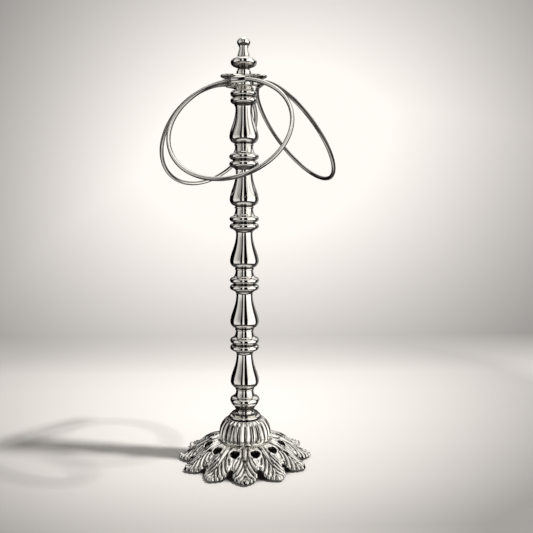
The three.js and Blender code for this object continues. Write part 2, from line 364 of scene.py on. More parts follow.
class Paint(Tree):
    """The node tree of a new material."""

    def __init__(self, name):
        self.material = bpy.data.materials.new(name)
        self.material.use_nodes = True
        super().__init__(self.material.node_tree)
        self.shader = self.tree.nodes["Principled BSDF"]

    def set(self, **values):
        for socket, value in values.items():
            self.feed(value, self.shader.inputs[socket.replace("_", " ")])

    def bump(self, height, strength, distance):
        node = self.add("Bump", Strength=strength, Distance=distance)
        self.feed(height, node.inputs["Height"])
        self.feed(node.outputs["Normal"], self.shader.inputs["Normal"])


def nickel_plate(name, smoothest, roughest):
    """Buffed nickel plate: faint polishing lines, soft clouding, and painted shade, nearly black, where a
    piece stores it.
    """
    n = Paint(name)
    clouds = n.noise(ALL_ROUND, 55.0, 5.0)
    recess = n.add("Attribute", attribute_name="recess").outputs["Fac"]
    plate = n.mix(n.ramp(clouds, 0.35, 0.7, 0, 1), (0.86, 0.84, 0.80), (0.79, 0.765, 0.72))
    # Painted shade: the colour goes nearly black where the stored value is high, in hollows, under
    # overhangs, on undersides and along dark bands.
    n.set(Metallic=1.0, Base_Color=n.mix(recess, plate, (0.035, 0.03, 0.025)))
    n.set(Roughness=n.ramp(clouds, 0.3, 0.75, smoothest, roughest))
    n.bump(n.noise((6, 6, 700), 2.0, 2.0), 0.008, 0.00003)
    return n.material


def zinc_steel():
    """Zinc-plated steel with turning lines and a dull bloom."""
    n = Paint("zinc_plate")
    bloom = n.noise(ALL_ROUND, 240.0)
    zinc = n.mix(n.ramp(bloom, 0.35, 0.65, 0, 1), (0.62, 0.63, 0.64), (0.48, 0.49, 0.50))
    n.set(Metallic=1.0, Base_Color=zinc, Roughness=n.ramp(bloom, 0.3, 0.7, 0.28, 0.45))
    n.bump(n.noise((20, 20, 1400), 2.0, 3.0), 0.3, 0.0002)
    return n.material


def black_iron():
    """Cast iron under black lacquer: the sand's grain shows through, and patches are worn brown."""
    n = Paint("lacquered_iron")
    sand = n.noise(ALL_ROUND, 900.0, 8.0, 0.7)
    worn = n.ramp(n.noise(ALL_ROUND, 70.0, 6.0), 0.58, 0.72, 0, 1)
    lacquer = n.mix(worn, (0.018, 0.019, 0.022), (0.07, 0.05, 0.04))
    n.set(Metallic=0.3, Base_Color=lacquer, Roughness=n.ramp(sand, 0.3, 0.7, 0.45, 0.8))
    n.bump(sand, 0.5, 0.0006)
    return n.material


def black_felt():
    """Wool felt: short matted fibres with a little lint."""
    n = Paint("wool_felt")
    lint = n.ramp(n.noise((3, 1, 1), 600.0, 3.0), 0.62, 0.8, 0, 1)
    wool = n.mix(lint, (0.014, 0.015, 0.018), (0.06, 0.06, 0.065))
    n.set(Base_Color=wool, Roughness=0.95, Sheen_Weight=0.4)
    n.bump(n.noise((1, 2.5, 1), 2200.0, 6.0, 0.8), 0.8, 0.0006)
    return n.material


# ---- column -------------------------------------------------------------------------------
# Heights on the column are from the lower disc of the piece's own collar.
COLLAR_FOOT = 5.4                  # from the collar's foot up to that disc
COLLAR_TOP = 14.4                  # and from the disc to the collar's top
COLLAR_END_R = 12.4
DISC_R, DISC_SPACING = 18.0, 8.8
TOP_DISC_R, TOP_DISC_SPACING = 16.2, 8.1
DISC_EDGE, DISC_HALF = 4.4, 3.7    # depth and half the thickness of a disc's rolled edge


def disc(r, z):
    """The rolled edge of one collar disc."""
    return arc(r - DISC_EDGE, z, DISC_EDGE, DISC_HALF, -88, 88, 22)


def collar(disc_r, spacing):
    """Two discs with a short flare under and over them."""
    core = disc_r - 4.0
    foot = spline([[11.6, -COLLAR_FOOT], [core - 1, -4.6], [core, -DISC_HALF]])
    top = spline([[core, spacing + DISC_HALF], [core - 1, spacing + 4.6], [COLLAR_END_R, COLLAR_TOP]])
    return foot + disc(disc_r, 0) + disc(disc_r, spacing) + top


def baluster():
    """Waist, bead and vase, which hang under the collar."""
    neck = spline([[12.3, -60.4], [11.4, -58.2], [10.9, -55.6], [10.8, -53.6]])
    bead = arc(10.6, -52.3, 1.3, 1.3, -90, 90)
    bulb = spline([
        [10.6, -50.9], [14.6, -48.9], [17.0, -45.8], [17.7, -42.2], [16.6, -35.9], [13.7, -27.4],
        [11.3, -19.4], [10.1, -11.6], [10.3, -7.6], [11.3, -5.6],
    ])
    return neck + bead + bulb


def foot_collar():
    """One disc on a flare."""
    flare = spline([[12.5, -1.8], [13.4, 0.2], [15.2, 2.4], [17.0, 4.3]])
    rim = arc(14.2, 8.6, 4.2, 3.9, -52, 88)
    top = spline([[14.0, 12.6], [13.0, 13.4], [COLLAR_END_R, COLLAR_TOP]])
    return flare + rim + top


def column(nickel):
    for k in range(1, MODULE_COUNT + 1):
        low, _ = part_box(f"collar_{k}")
        disc_z = low.z / MM + COLLAR_FOOT
        shape = collar(TOP_DISC_R, TOP_DISC_SPACING) if k == 1 else collar(DISC_R, DISC_SPACING)
        finished(bored(f"collar_{k}_turned", shape, disc_z), f"collar_{k}", nickel)
        finished(bored(f"baluster_{k}_turned", baluster(), disc_z), f"baluster_{k}", nickel)
    _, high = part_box("foot_collar")
    foot = bored("foot_collar_turned", foot_collar(), high.z / MM - COLLAR_TOP)
    finished(foot, "foot_collar", nickel)


# ---- dome ---------------------------------------------------------------------------------
# Heights from here on are above the floor.
FLUTE_DEPTH = 1.25
FLUTE_FOOT = 1.4                   # plain band left under the flutes, along the dome's outline
FLUTE_HEAD = 2.0                   # and over them
FLUTE_END_R, FLUTE_END_FULLNESS = 2.4, 0.95    # round ends
FLUTE_END_INNER, FLUTE_END_OUTER = 0.9, 0.7    # a flute deepens over these lengths in and out of its end
COLUMNS_PER_FLUTE = 16
BLACK_HEIGHTS = (34, 43)           # the painted shade, black low down in the flutes, fades between these
CAP_LINE = (2.4, 1.0)              # distances from the top over which the painted shade under the cap darkens
# How much shade is painted low down in the flutes, along each flute and under the cap.
LOW_FLUTE_SHADE, FLUTE_LINE_SHADE, CAP_LINE_SHADE = 0.97, 0.65, 0.9


def neck_and_cap(nickel):
    spool = spline([[12.3, 60.0], [11.2, 61.0], [10.8, 62.6], [11.3, 64.3], [12.4, 65.4]])
    finished(bored("neck_spool_turned", spool), "neck_spool", nickel)
    cap = arc(17.2, 55.5, 2.5, 1.7, -88, 88) + [[16.2, 57.6]] + arc(15.4, 58.7, 1.6, 1.0, -80, 80)
    # The cap gets painted shade at its two ends.
    finished(bored("dome_cap_turned", cap, seam=1.0), "dome_cap", nickel)


def flute_hollows(phase, along):
    """How hollow the dome is, from 0 to 1, by flutes counted round it and distance along its outline."""
    across = np.abs(2 * ((phase + 0.5) % 1) - 1)[:, None]
    rounding = FLUTE_END_R * (1 - np.sqrt(1 - FLUTE_END_FULLNESS * across ** 2))
    foot_end = FLUTE_FOOT + rounding
    foot = smoothstep(along, foot_end - FLUTE_END_OUTER, foot_end + FLUTE_END_INNER)
    head_end = along[-1] - FLUTE_HEAD - rounding
    head = 1 - smoothstep(along, head_end - FLUTE_END_INNER, head_end + FLUTE_END_OUTER)
    return (1 - across ** 2) * foot * head


def flute_painted_shade(hollow, along, z):
    """Painted shade: black low down in the flutes, a thin line along each of them, and a line under the cap.
    """
    low_down = LOW_FLUTE_SHADE * hollow ** 4 * (1 - smoothstep(z, *BLACK_HEIGHTS))
    thin_line = FLUTE_LINE_SHADE * hollow ** 10
    under_cap = CAP_LINE_SHADE * smoothstep(along, along[-1] - CAP_LINE[0], along[-1] - CAP_LINE[1])
    return np.maximum(np.maximum(low_down, thin_line), under_cap)


def fluted_dome(nickel):
    """Hollow flutes with narrow ridges between them and round ends, one facing the viewer."""
    outline = [[31.4, 27.0]] + arc(17.0, 33.5, 15.4, 20.2, -12, 80, 40) + [[19.3, 53.6]]
    outline = resampled(buffed(outline, 0.3, 2), 0.6)
    r, z = outline.T
    along = distances(outline)
    phase = np.arange(FLUTE_COUNT * COLUMNS_PER_FLUTE) / COLUMNS_PER_FLUTE
    hollow = flute_hollows(phase, along)
    outside = r - FLUTE_DEPTH * hollow
    grid = np.stack([outside, np.broadcast_to(z, outside.shape)], axis=-1)
    outlines = between((BORE_R, z[0]), grid, (BORE_R, z[-1]))
    dome = swept("fluted_dome_cast", outlines, even_angles(len(phase)))
    painted_shade_values = np.pad(flute_painted_shade(hollow, along, z), ((0, 0), (1, 1)))
    store_recess(dome.data, painted_shade_values.ravel())
    finished(dome, "fluted_dome", nickel)


# ---- leaf base ----------------------------------------------------------------------------
# A leaf's own coordinates: u along the midrib from the column's axis, w across it. A pair of numbers
# holds the two radii, or the two shares of half a leaf, between which something grows or fades.
LEAF_PITCH = 2 * math.pi / LEAF_COUNT
LEAF_ROOT_R, LEAF_ROOT_Z = 31.5, 26.8
LEAF_PROFILE = np.array(spline([
    [LEAF_ROOT_R, LEAF_ROOT_Z], [37, 26.3], [43, 25], [50, 22.2], [57, 18.4], [63, 14.4], [70, 9.8],
    [77, 6.3], [83, 4.7],
]))
ROOT_FADE = (LEAF_ROOT_R + 0.5, LEAF_ROOT_R + 4.5)    # the carving begins here
# The margin of half a leaf, as degrees from the midrib and radius: four lobes, then the gap.
LEAF_MARGIN = np.array(spline([
    [0, 82.8], [1.9, 82.5], [3.1, 81.2], [3.7, 79.3], [4.4, 79.9], [5.6, 79.5], [6.6, 78.0], [7.1, 75.8],
    [7.8, 76.4], [9.0, 75.8], [9.9, 73.8], [10.2, 71.4], [10.8, 71.6], [11.6, 70.4], [11.9, 68.0],
    [12.0, 66.2], [12.4, 64.9], [13.2, 63.8], [14.2, 63.1], [15, 62.8],
], 5))
MARGIN_MEAN_R = 72                 # turns the margin's degrees into lengths
MARGIN_COLUMNS = 40                # mesh columns across half a leaf
SIDE_DROP, SIDE_DROP_FADE = 2.6, (34, 56)      # the leaf's sides droop
TIP_DROP, TIP_DROP_FADE = 1.4, (60, 70)        # and so do the flanks of its tip
TIP_HALF = 13

# Grooves on half a leaf: (w, u) points, depth, half width.
GROOVES = [
    ([(2.8, 34), (3.2, 44), (2.8, 52), (1.7, 59), (0.1, 66.5)], 0.9, 0.7),
    ([(5.0, 46), (7.2, 51), (9.6, 55.2), (12.2, 58.4)], 0.8, 0.7),
    ([(4.2, 46), (4.8, 53), (6.4, 58), (8.7, 61.7), (11.2, 64.3), (13.4, 65.2)], 1.7, 1.1),
    ([(2.2, 59), (3.8, 63.2), (6.8, 67.2), (10.2, 70.3), (12.9, 71.4)], 1.4, 0.95),
    ([(1.3, 66), (2.8, 69.9), (5.6, 73.6), (9.6, 76)], 1.3, 0.9),
    ([(0.9, 72.5), (2.3, 76), (5.1, 79.5)], 1.0, 0.8),
    ([(0, 66), (0, 83)], 0.8, 0.65),
]
GROOVE_START = 0.45                # share of its depth that a groove has where it starts
LINE_SHARE, LINE_FADE = 0.6, 0.5   # shares of a groove's half width that are painted black as shade, and that fade
PILLOW, PILLOW_REACH = 1.15, 1.9   # how far the lobes swell between the grooves, and how soon
STEM_HEIGHT, STEM_HALF = 0.9, 2.6
STEM_START, STEM_TAPER = (33, 37), (50, 66)
RIM, RIM_INSET, RIM_HALF = 0.7, 1.4, 0.9       # raised rim along the free margin
RIM_START = (60, 65)
JOIN_HEIGHT = 0.6                  # plain strip along which two leaves join
JOIN_SHARES, JOIN_END = (0.84, 0.97), (61, 64)

PIERCING_R = 5.8
PIERCING_SQUASH = 0.84             # the holes are oval, shorter outwards than across
PIERCING_PITCH_R = 47.0
CUTTER_MIDDLE, CUTTER_LENGTH = 20, 30
HOLE_WALL_SLOPE, HOLE_WALL_MARGIN = 0.2, 0.2    # how upright and how near the hole its walls are
LIP_HEIGHT, LIP_INSET, LIP_HALF, LIP_SUNK = 1.4, 1.3, 1.7, 0.2    # raised lip round each hole
LIP_FADE = (1.8, 3.4)              # distances from the hole

LEAF_THICKNESS = 3.4
HOLLOW_TOP = 22.0
UNDER_ROOT_R = 28.0
UNDER_INSET = 0.9                  # the underside ends this far inside the margin
EDGE_ROUNDING, EDGE_ROUNDING_WIDTH = 1.5, 1.6
LOWEST_TOP, LOWEST_UNDER, THINNEST_EDGE = 1.3, 0.12, 1.1
NOSE_OUT, NOSE_DOWN = (0.25, 0.1), (0.35, 0.75)      # two points that round the edge
TOP_ROWS, UNDER_ROWS = 72, 24
# Painted shade over the whole underside of the leaves.
UNDERSIDE_SHADE = 0.7


def groove_distance(points, u, w):
    """Distance to the nearest point of a groove, and how far along the groove that is, from 0 to 1."""
    line = resampled(spline(points), 0.5)
    nearest = np.full(u.shape, np.inf)
    place = np.zeros(u.shape)
    for share, (line_w, line_u) in zip(np.linspace(0, 1, len(line)), line):
        distance = np.hypot(u - line_u, w - line_w)
        place = np.where(distance < nearest, share, place)
        nearest = np.minimum(distance, nearest)
    return nearest, place


def leaf_relief(u, w):
    """Height of the carving above the leaf's plain surface, and how much shade is painted there along the
    grooves.
    """
    relief, recess = np.zeros(u.shape), np.zeros(u.shape)
    free = np.full(u.shape, np.inf)
    for points, depth, half_width in GROOVES:
        distance, place = groove_distance(points, u, w)
        strength = blend(GROOVE_START, 1, smoothstep(place, 0, 0.5))
        relief -= depth * strength * np.exp(-((distance / half_width) ** 2))
        line = 1 - smoothstep(distance / half_width, LINE_SHARE, LINE_SHARE + LINE_FADE)
        recess = np.maximum(recess, line)
        free = np.minimum(free, distance)
    relief += PILLOW * (1 - np.exp(-((free / PILLOW_REACH) ** 2)))
    stem_half = STEM_HALF * (1 - smoothstep(u, *STEM_TAPER)) + 0.01
    stem = np.sqrt(np.clip(1 - (w / stem_half) ** 2, 0, 1))
    relief += STEM_HEIGHT * stem * smoothstep(u, *STEM_START)
    return relief, recess


def piercing_distance(radius, turn):
    """Distance outside the edge of the oval piercing that is centred at turn 0."""
    outward = (radius * np.cos(turn) - PIERCING_PITCH_R) / PIERCING_SQUASH
    return np.hypot(outward, radius * np.sin(turn)) - PIERCING_R


def leaf_height(radius, droop):
    """Height of the leaf's plain surface; `droop` grows from 0 on the midrib to 1 beside its neighbour."""
    return np.interp(radius, *LEAF_PROFILE.T) - SIDE_DROP * droop


def leaf_surface(radius, angle, edge):
    """Top of the casting in polar coordinates: height and painted shade. `edge` is the margin's radius
    there.
    """
    half = LEAF_PITCH / 2
    offset = (angle + half) % LEAF_PITCH - half
    u, w = radius * np.cos(offset), np.abs(radius * np.sin(offset))
    side = np.abs(offset) / half
    plain = leaf_height(radius, side ** 2 * smoothstep(radius, *SIDE_DROP_FADE))
    plain = plain - TIP_DROP * (w / TIP_HALF) ** 2 * smoothstep(radius, *TIP_DROP_FADE)
    relief, recess = leaf_relief(u, w)
    from_rim = (edge - radius - RIM_INSET) / RIM_HALF
    relief = relief + RIM * np.exp(-(from_rim ** 2)) * smoothstep(radius, *RIM_START)
    join = smoothstep(side, *JOIN_SHARES) * (1 - smoothstep(radius, *JOIN_END))
    relief, recess = blend(relief, JOIN_HEIGHT, join), blend(recess, 0, join)
    from_hole = piercing_distance(radius, half - np.abs(offset))
    lip_profile = np.sqrt(np.clip(1 - ((from_hole - LIP_INSET) / LIP_HALF) ** 2, 0, 1))
    at_hole = 1 - smoothstep(from_hole, *LIP_FADE)
    relief = blend(relief, LIP_HEIGHT * lip_profile - LIP_SUNK, at_hole)
    rise = smoothstep(radius, *ROOT_FADE)
    return plain + relief * rise, blend(recess, 0, at_hole) * rise


def margin_columns():
    """Angles and margin radii right round the casting, evenly spaced along the leaves' margins."""
    travelled = distances(LEAF_MARGIN * [math.radians(1) * MARGIN_MEAN_R, 1])
    even = np.linspace(0, travelled[-1], MARGIN_COLUMNS + 1)
    degrees = np.maximum.accumulate(np.interp(even, travelled, LEAF_MARGIN[:, 0]))
    radii = np.interp(even, travelled, LEAF_MARGIN[:, 1])
    pitch = 360 / LEAF_COUNT
    one_degrees = np.r_[degrees[:-1], pitch - degrees[:0:-1]]
    one_radii = np.r_[radii[:-1], radii[:0:-1]]
    starts = np.repeat(np.arange(LEAF_COUNT) * pitch, len(one_degrees))
    return np.radians(starts + np.tile(one_degrees, LEAF_COUNT)), np.tile(one_radii, LEAF_COUNT)


def leaf_outlines(angles, edge):
    """Outlines of the casting from its root over the top and back below, and the shade painted on the top.
    """
    top_r = LEAF_ROOT_R + (edge - LEAF_ROOT_R) * np.linspace(0, 1, TOP_ROWS)
    top_z, recess = leaf_surface(top_r, angles, edge)
    top_z = top_z - EDGE_ROUNDING * smoothstep(top_r, edge - EDGE_ROUNDING_WIDTH, edge) ** 2
    top_z = np.maximum(top_z, LOWEST_TOP)
    under_r = UNDER_ROOT_R + (edge - UNDER_INSET - UNDER_ROOT_R) * np.linspace(1, 0, UNDER_ROWS)
    side = np.abs((angles / LEAF_PITCH + 0.5) % 1 - 0.5) * 2
    under_z = np.clip(leaf_height(under_r, side ** 2) - LEAF_THICKNESS, LOWEST_UNDER, HOLLOW_TOP)
    under_z[:, 0] = np.minimum(under_z[:, 0], top_z[:, -1] - THINNEST_EDGE)
    nose_r = edge + NOSE_OUT
    nose_z = blend(top_z[:, -1:], under_z[:, :1], np.array(NOSE_DOWN))
    r = np.concatenate([top_r, nose_r, under_r], axis=1)
    z = np.concatenate([top_z, nose_z, under_z], axis=1)
    return np.stack([r, z], axis=-1), recess


def leaf_base(nickel):
    """Twelve leaves cast in one piece, hollow below, with a piercing between each two."""
    angles, edge = margin_columns()
    outlines, top_recess = leaf_outlines(angles[:, None], edge[:, None])
    outlines = between((BORE_R, LEAF_ROOT_Z), outlines, (BORE_R, HOLLOW_TOP))
    body = swept("leaf_base_cast", outlines, angles)
    # Painted shade: the underside throughout, and the top along its grooves.
    painted_shade_values = np.full(outlines.shape[:2], UNDERSIDE_SHADE)
    painted_shade_values[:, 0] = 0
    painted_shade_values[:, 1:TOP_ROWS + 1] = top_recess
    store_recess(body.data, painted_shade_values.ravel())
    boolean(body, piercings(), "DIFFERENCE")
    blacken_holes(body.data)
    finished(body, "leaf_base", nickel)


def piercing_places():
    """Where each piercing stands, turned to face outwards."""
    for k in range(LEAF_COUNT):
        turn = Matrix.Rotation((k + 0.5) * LEAF_PITCH, 4, "Z")
        yield turn @ Matrix.Translation(Vector((0, -PIERCING_PITCH_R, CUTTER_MIDDLE)) * MM)


def piercings():
    """One mesh of oval cutters, one between each two leaves."""
    cutters = bmesh.new()
    squash = Matrix.Diagonal((1, PIERCING_SQUASH, 1, 1))
    for place in piercing_places():
        bmesh.ops.create_cone(
            cutters, cap_ends=True, segments=40, radius1=PIERCING_R * MM, radius2=PIERCING_R * MM,
            depth=CUTTER_LENGTH * MM, matrix=place @ squash)
    return from_bmesh("piercings", cutters)


def blacken_holes(mesh):
    """Moves the painted shade values to face corners and paints the walls of the piercings black as shade.
    """
    by_point = np.zeros(len(mesh.vertices))
    mesh.attributes["recess"].data.foreach_get("value", by_point)
    corner_points = np.zeros(len(mesh.loops), int)
    mesh.loops.foreach_get("vertex_index", corner_points)
    values = by_point[corner_points]
    centres = [place.translation.xy for place in piercing_places()]
    reach = (PIERCING_R + HOLE_WALL_MARGIN) * MM
    for face in mesh.polygons:
        upright = abs(face.normal.z) < HOLE_WALL_SLOPE
        if upright and any((face.center.xy - centre).length < reach for centre in centres):
            values[list(face.loop_indices)] = 1
    mesh.attributes.remove(mesh.attributes["recess"])
    store_recess(mesh, values, "CORNER")


# ---- finial and hub -----------------------------------------------------------------------
PLATE_BOTTOM, PLATE_TOP = 467.75, 470.35
PLATE_MIDDLE, PLATE_HALF = (PLATE_BOTTOM + PLATE_TOP) / 2, (PLATE_TOP - PLATE_BOTTOM) / 2
PLATE_EDGE = 1.5                   # depth of the rounded edge
PLATE_INNER_R = 9.0
PLATE_STEPS = 288
LOBE_R, DIP_R = 30.2, 13.6
LOBE_FULLNESS = 0.8                # under 1, the lobes are broader than the dips
RIM_SHADE, RIM_SHARES = 0.8, (0.7, 0.98)     # painted shade along the rim; it grows from the edge's middle to its two faces

BARREL_HALF = 8.6
BARREL_R, BARREL_BORE_R = 4.0, 3.3
BARREL_LIP = 0.5
BARREL_SEGMENTS = 40
WEB_SIZE = (9.0, 6.2, 3.4)
WEB_SUNK, WEB_BEVEL = 0.4, 0.5

WIRE_SEGMENTS, RING_SEGMENTS = 24, 256
INNER_WIRE_SHADE = 0.98               # painted shade along the inside of a ring's wire
OUTER_WIRE_SHADE = 1.0                # and painted shade along its outside
WIRE_SHADE_SPREAD = 42.0              # degrees round the wire over which the painted shade spreads


def finial(nickel):
    boss = arc(0, 475.1, 8.8, 7.9, -33, 40, 20)
    finished(bored("finial_boss_turned", boss), "finial_boss", nickel)
    button = [[7.2, 480.6]] + arc(8.4, 487.1, 7.3, 5.2, -80, 80, 24) + [[8.0, 493.6]]
    finished(bored("finial_disc_turned", button), "finial_disc", nickel)
    stem = spline([[7.7, 493.8], [7.3, 496.5], [6.1, 500.5], [5.3, 503.6], [5.5, 505.4], [6.4, 507.0]])
    knob = buffed(stem + arc(0, 510.6, 8.0, 5.8, -32, 90, 24))
    knob[-1][0] = 0
    outline = [[0, 500.5], [BORE_R, 500.5], [BORE_R, 493.8], *knob]
    # Painted shade in the knob's grooves and under its overhangs.
    recess = [0, 0, 0, *painted_shade_along(knob)]
    finished(revolved("finial_knob_turned", outline, recess, closed=False), "finial_knob", nickel)


def hub_plate(satin):
    """Trefoil plate with pillowed lobes, a dip towards the viewer, and dark lines of painted shade along its
    rim.
    """
    angles = even_angles(PLATE_STEPS)
    reach = (1 - np.cos(RING_COUNT * angles)) / 2
    edge = (DIP_R + (LOBE_R - DIP_R) * reach ** LOBE_FULLNESS)[:, None]
    nose_r, nose_z = np.array(arc(-PLATE_EDGE, PLATE_MIDDLE, PLATE_EDGE, PLATE_HALF, -90, 90, 13)).T
    inner = np.full(edge.shape, PLATE_INNER_R)
    r = np.concatenate([inner, edge + nose_r, edge * 0.6, inner], axis=1)
    z = np.broadcast_to(np.r_[PLATE_BOTTOM, nose_z, PLATE_TOP, PLATE_TOP], r.shape)
    outlines = between((BORE_R, PLATE_BOTTOM), np.stack([r, z], axis=-1), (BORE_R, PLATE_TOP))
    plate = swept("hub_plate_cast", outlines, angles)
    # Painted shade along the rim, darkest towards its two faces.
    to_face = np.abs(outlines[:, :, 1] - PLATE_MIDDLE) / PLATE_HALF
    at_rim = outlines[:, :, 0] > edge - PLATE_EDGE - 0.1
    painted_shade_values = np.where(at_rim, RIM_SHADE * smoothstep(to_face, *RIM_SHARES), 0)
    store_recess(plate.data, painted_shade_values.ravel())
    finished(plate, "hub_plate", satin)


def hub_bell(nickel):
    foot = spline([[9.5, 457.0], [10.4, 457.5], [10.6, 458.3], [10.1, 459.2]])
    body = spline([[9.5, 460.0], [9.9, 461.4], [10.4, 462.6], [10.4, 467.3]])
    finished(bored("hub_bell_turned", foot + body), "hub_bell", nickel)


def knuckle(name, azimuth, pivot):
    """Hinge barrel with rolled lips, and the web that joins it to the bell."""
    middle = (BARREL_R + BARREL_BORE_R) / 2
    wall = (BARREL_R - BARREL_BORE_R) / 2
    low_lip = arc(middle, BARREL_LIP - BARREL_HALF, wall, BARREL_LIP, -180, 0, 7)
    high_lip = arc(middle, BARREL_HALF - BARREL_LIP, wall, BARREL_LIP, 0, 180, 7)
    tube = low_lip + high_lip
    place = Matrix.Translation(pivot / MM) @ Matrix.Rotation(azimuth, 4, "Z")
    along_hinge = place @ Matrix.Rotation(math.pi / 2, 4, "Y")
    barrel = revolved(name, tube, [0] * len(tube), BARREL_SEGMENTS, place=along_hinge)
    web = bmesh.new()
    centre = Matrix.Translation((0, middle + WEB_SIZE[1] / 2, -WEB_SUNK))
    bmesh.ops.create_cube(web, size=1, matrix=place @ centre @ Matrix.Diagonal((*WEB_SIZE, 1)))
    bmesh.ops.bevel(web, geom=web.edges[:], offset=WEB_BEVEL, segments=3, affect="EDGES")
    bmesh.ops.scale(web, vec=(MM, MM, MM), verts=web.verts[:])
    boolean(barrel, from_bmesh("web", web), "UNION")
    return barrel


def towel_ring(name, azimuth, tilt, pivot):
    """Closed wire ring hung from its hinge axis."""
    wire = arc(RING_R, 0, WIRE_R, WIRE_R, 0, 360, WIRE_SEGMENTS + 1)[:-1]
    turn = np.arange(WIRE_SEGMENTS) * 360 / WIRE_SEGMENTS
    # Painted shade in dark bands along the wire's outside and inside.
    outer = OUTER_WIRE_SHADE * np.exp(-((np.minimum(turn, 360 - turn) / WIRE_SHADE_SPREAD) ** 2))
    inner = INNER_WIRE_SHADE * np.exp(-(((turn - 180) / WIRE_SHADE_SPREAD) ** 2))
    flat = Matrix.Translation((0, 0, -RING_R)) @ Matrix.Rotation(math.pi / 2, 4, "X")
    hang = Matrix.Rotation(azimuth, 4, "Z") @ Matrix.Rotation(-tilt, 4, "X") @ flat
    return revolved(name, wire, outer + inner, RING_SEGMENTS, place=Matrix.Translation(pivot / MM) @ hang)


def rings(nickel, satin):
    joints = sorted(frame["joints"], key=lambda joint: joint["name"])
    for k, (joint, tilt) in enumerate(zip(joints, RING_TILTS), start=1):
        pivot = Vector(joint["pos_m"])
        azimuth = math.atan2(pivot.x, -pivot.y)
        barrel = knuckle(f"hinge_knuckle_{k}_cast", azimuth, pivot)
        finished(barrel, f"hinge_knuckle_{k}", nickel)
        ring = towel_ring(f"towel_ring_{k}_bent", azimuth, math.radians(tilt), pivot)
        finished(ring, f"towel_ring_{k}", satin, joint["child"])


# ---- studio -------------------------------------------------------------------------------
CAMERA_PLACE = (0, -0.7412, 0.3106)
CAMERA_LENS, CAMERA_SENSOR = 40.86, 36.0
CAMERA_TILT, CAMERA_TURN = 5.22, 2.1           # degrees down, and to the right

LAMP_AZIMUTH, LAMP_HEIGHT = 79, 60             # degrees
LAMP_DISTANCE, LAMP_SIZE = 6.0, 0.46
LAMP_POWER = 345
FLOOR_FILL = 0.31                              # even light that fills the shadows
WARM = (1.0, 0.985, 0.96)

# The wall behind the stand: brightest near the middle, and dimmed low on the right. Places on it are
# azimuth and height in degrees, as seen from the camera, and a fade is given by the cosine of the angle
# away from the place.
WALL_TINT = (1.022, 0.97, 0.925)
WALL_BRIGHTEST, BRIGHTEST_PLACE = 1.32, (176.5, 0)
WALL_FALL = 10.2                               # how fast it darkens away from there
DIM_SHARE, DIM_PLACE, DIM_START = 0.466, (168, -30), 0.776
WALL_LEAST = 0.23                              # least share of the brightest level in the front view
WALL_ELSEWHERE, ELSEWHERE_FADE = 0.46, (0.6, 0.84)    # and the share well away from that view

# Brightness of the walls as the metal sees them, by azimuth in degrees, near the floor and higher up.
LOW_WALLS = [
    (-180, 0.1), (-168, 0.04), (-158, 0.0), (-99, 0.0), (-94, 0.9), (-66, 0.9), (-45, 0.8), (-36, 0.66),
    (-32, 0.0), (-18, 0.0), (-15, 1.1), (-4, 1.1), (-1, 0.0), (24, 0.0), (27, 1.7), (95, 1.7),
    (99, 0.02), (126, 0.02), (136, 0.35), (160, 0.3), (180, 0.1),
]
HIGH_WALLS = [
    (-180, 0.08), (-168, 0.03), (-158, 0.0), (-97, 0.0), (-91, 0.8), (-72, 0.68), (-52, 0.42), (-35, 0.3),
    (-31, 0.0), (-18, 0.0), (-15, 0.9), (-5, 0.9), (-2, 0.0), (24, 0.0), (28, 1.1), (60, 1.3), (95, 1.3),
    (99, 0.02), (126, 0.02), (136, 0.3), (160, 0.25), (180, 0.08),
]
# Brightness overhead, by the x of the direction, and how it fades from back to front, by its y.
CEILING_BANDS = [
    (-1, 0.05), (-0.8, 0.1), (-0.72, 0.6), (-0.56, 0.65), (-0.52, 0.02), (-0.38, 0.02), (-0.33, 1.2),
    (-0.1, 1.4), (0.34, 1.5), (0.39, 0.03), (0.46, 0.03), (0.5, 1.7), (0.85, 1.7), (1, 0.6),
]
CEILING_DEPTH = [(-1, 0.05), (-0.5, 0.1), (-0.32, 1.0), (0.9, 1.0), (1, 0.4)]
# Brightness below, by the z of the direction.
BELOW = [(-1, 0.8), (-0.86, 0.7), (-0.76, 0.05), (-0.4, 0.05)]
# Where each of these gives way to the next, by the z of the direction.
BELOW_END, LOW_WALLS_END, HIGH_WALLS_END = (-0.5, -0.4), (-0.15, 0.2), (0.68, 0.84)
# Behind the stand the ceiling reaches lower: its share, and where that starts by z and by y.
LOW_CEILING, LOW_CEILING_START, LOW_CEILING_BEHIND = 0.7, (0.3, 0.42), (0.3, 0.45)

FLOOR_PAINT = (0.918, 0.872, 0.832)
FLOOR_R = 30
# Painted light on the floor: its brightness by y in metres, and the width of the painted pool of light at
# two places along y.
FLOOR_DEPTH = [
    (-0.9, 0.75), (-0.3, 0.62), (-0.17, 0.6), (-0.11, 0.74), (-0.06, 0.84), (0.04, 0.95), (0.15, 1.0),
    (0.28, 1.0), (0.46, 0.92), (0.7, 0.86), (1.2, 0.6),
]
POOL_NEAR, POOL_FAR = (-0.24, 0.28), (0.46, 0.78)
POOL_SHIFT = -0.05                             # towards the left, as a share of its width
FLOOR_DARKEST = 0.32
FLOOR_FAR_OUT, FAR_OUT = 0.65, (0.42, 0.75)    # beyond the floor of the front view, by distance
CONTACT_DARKNESS, CONTACT_EDGE = 0.12, (0.067, 0.074)    # a painted shadow darkens the floor under the base
MELT_BEHIND, MELT_ROUND = (0.4, 0.76), (0.9, 1.8)    # it melts into the wall as a glow painted with the wall's shading, by y and by distance


def heading(azimuth, height):
    """Unit vector from an azimuth and a height above the horizon, in degrees."""
    a, h = math.radians(azimuth), math.radians(height)
    return Vector((math.sin(a) * math.cos(h), -math.cos(a) * math.cos(h), math.sin(h)))


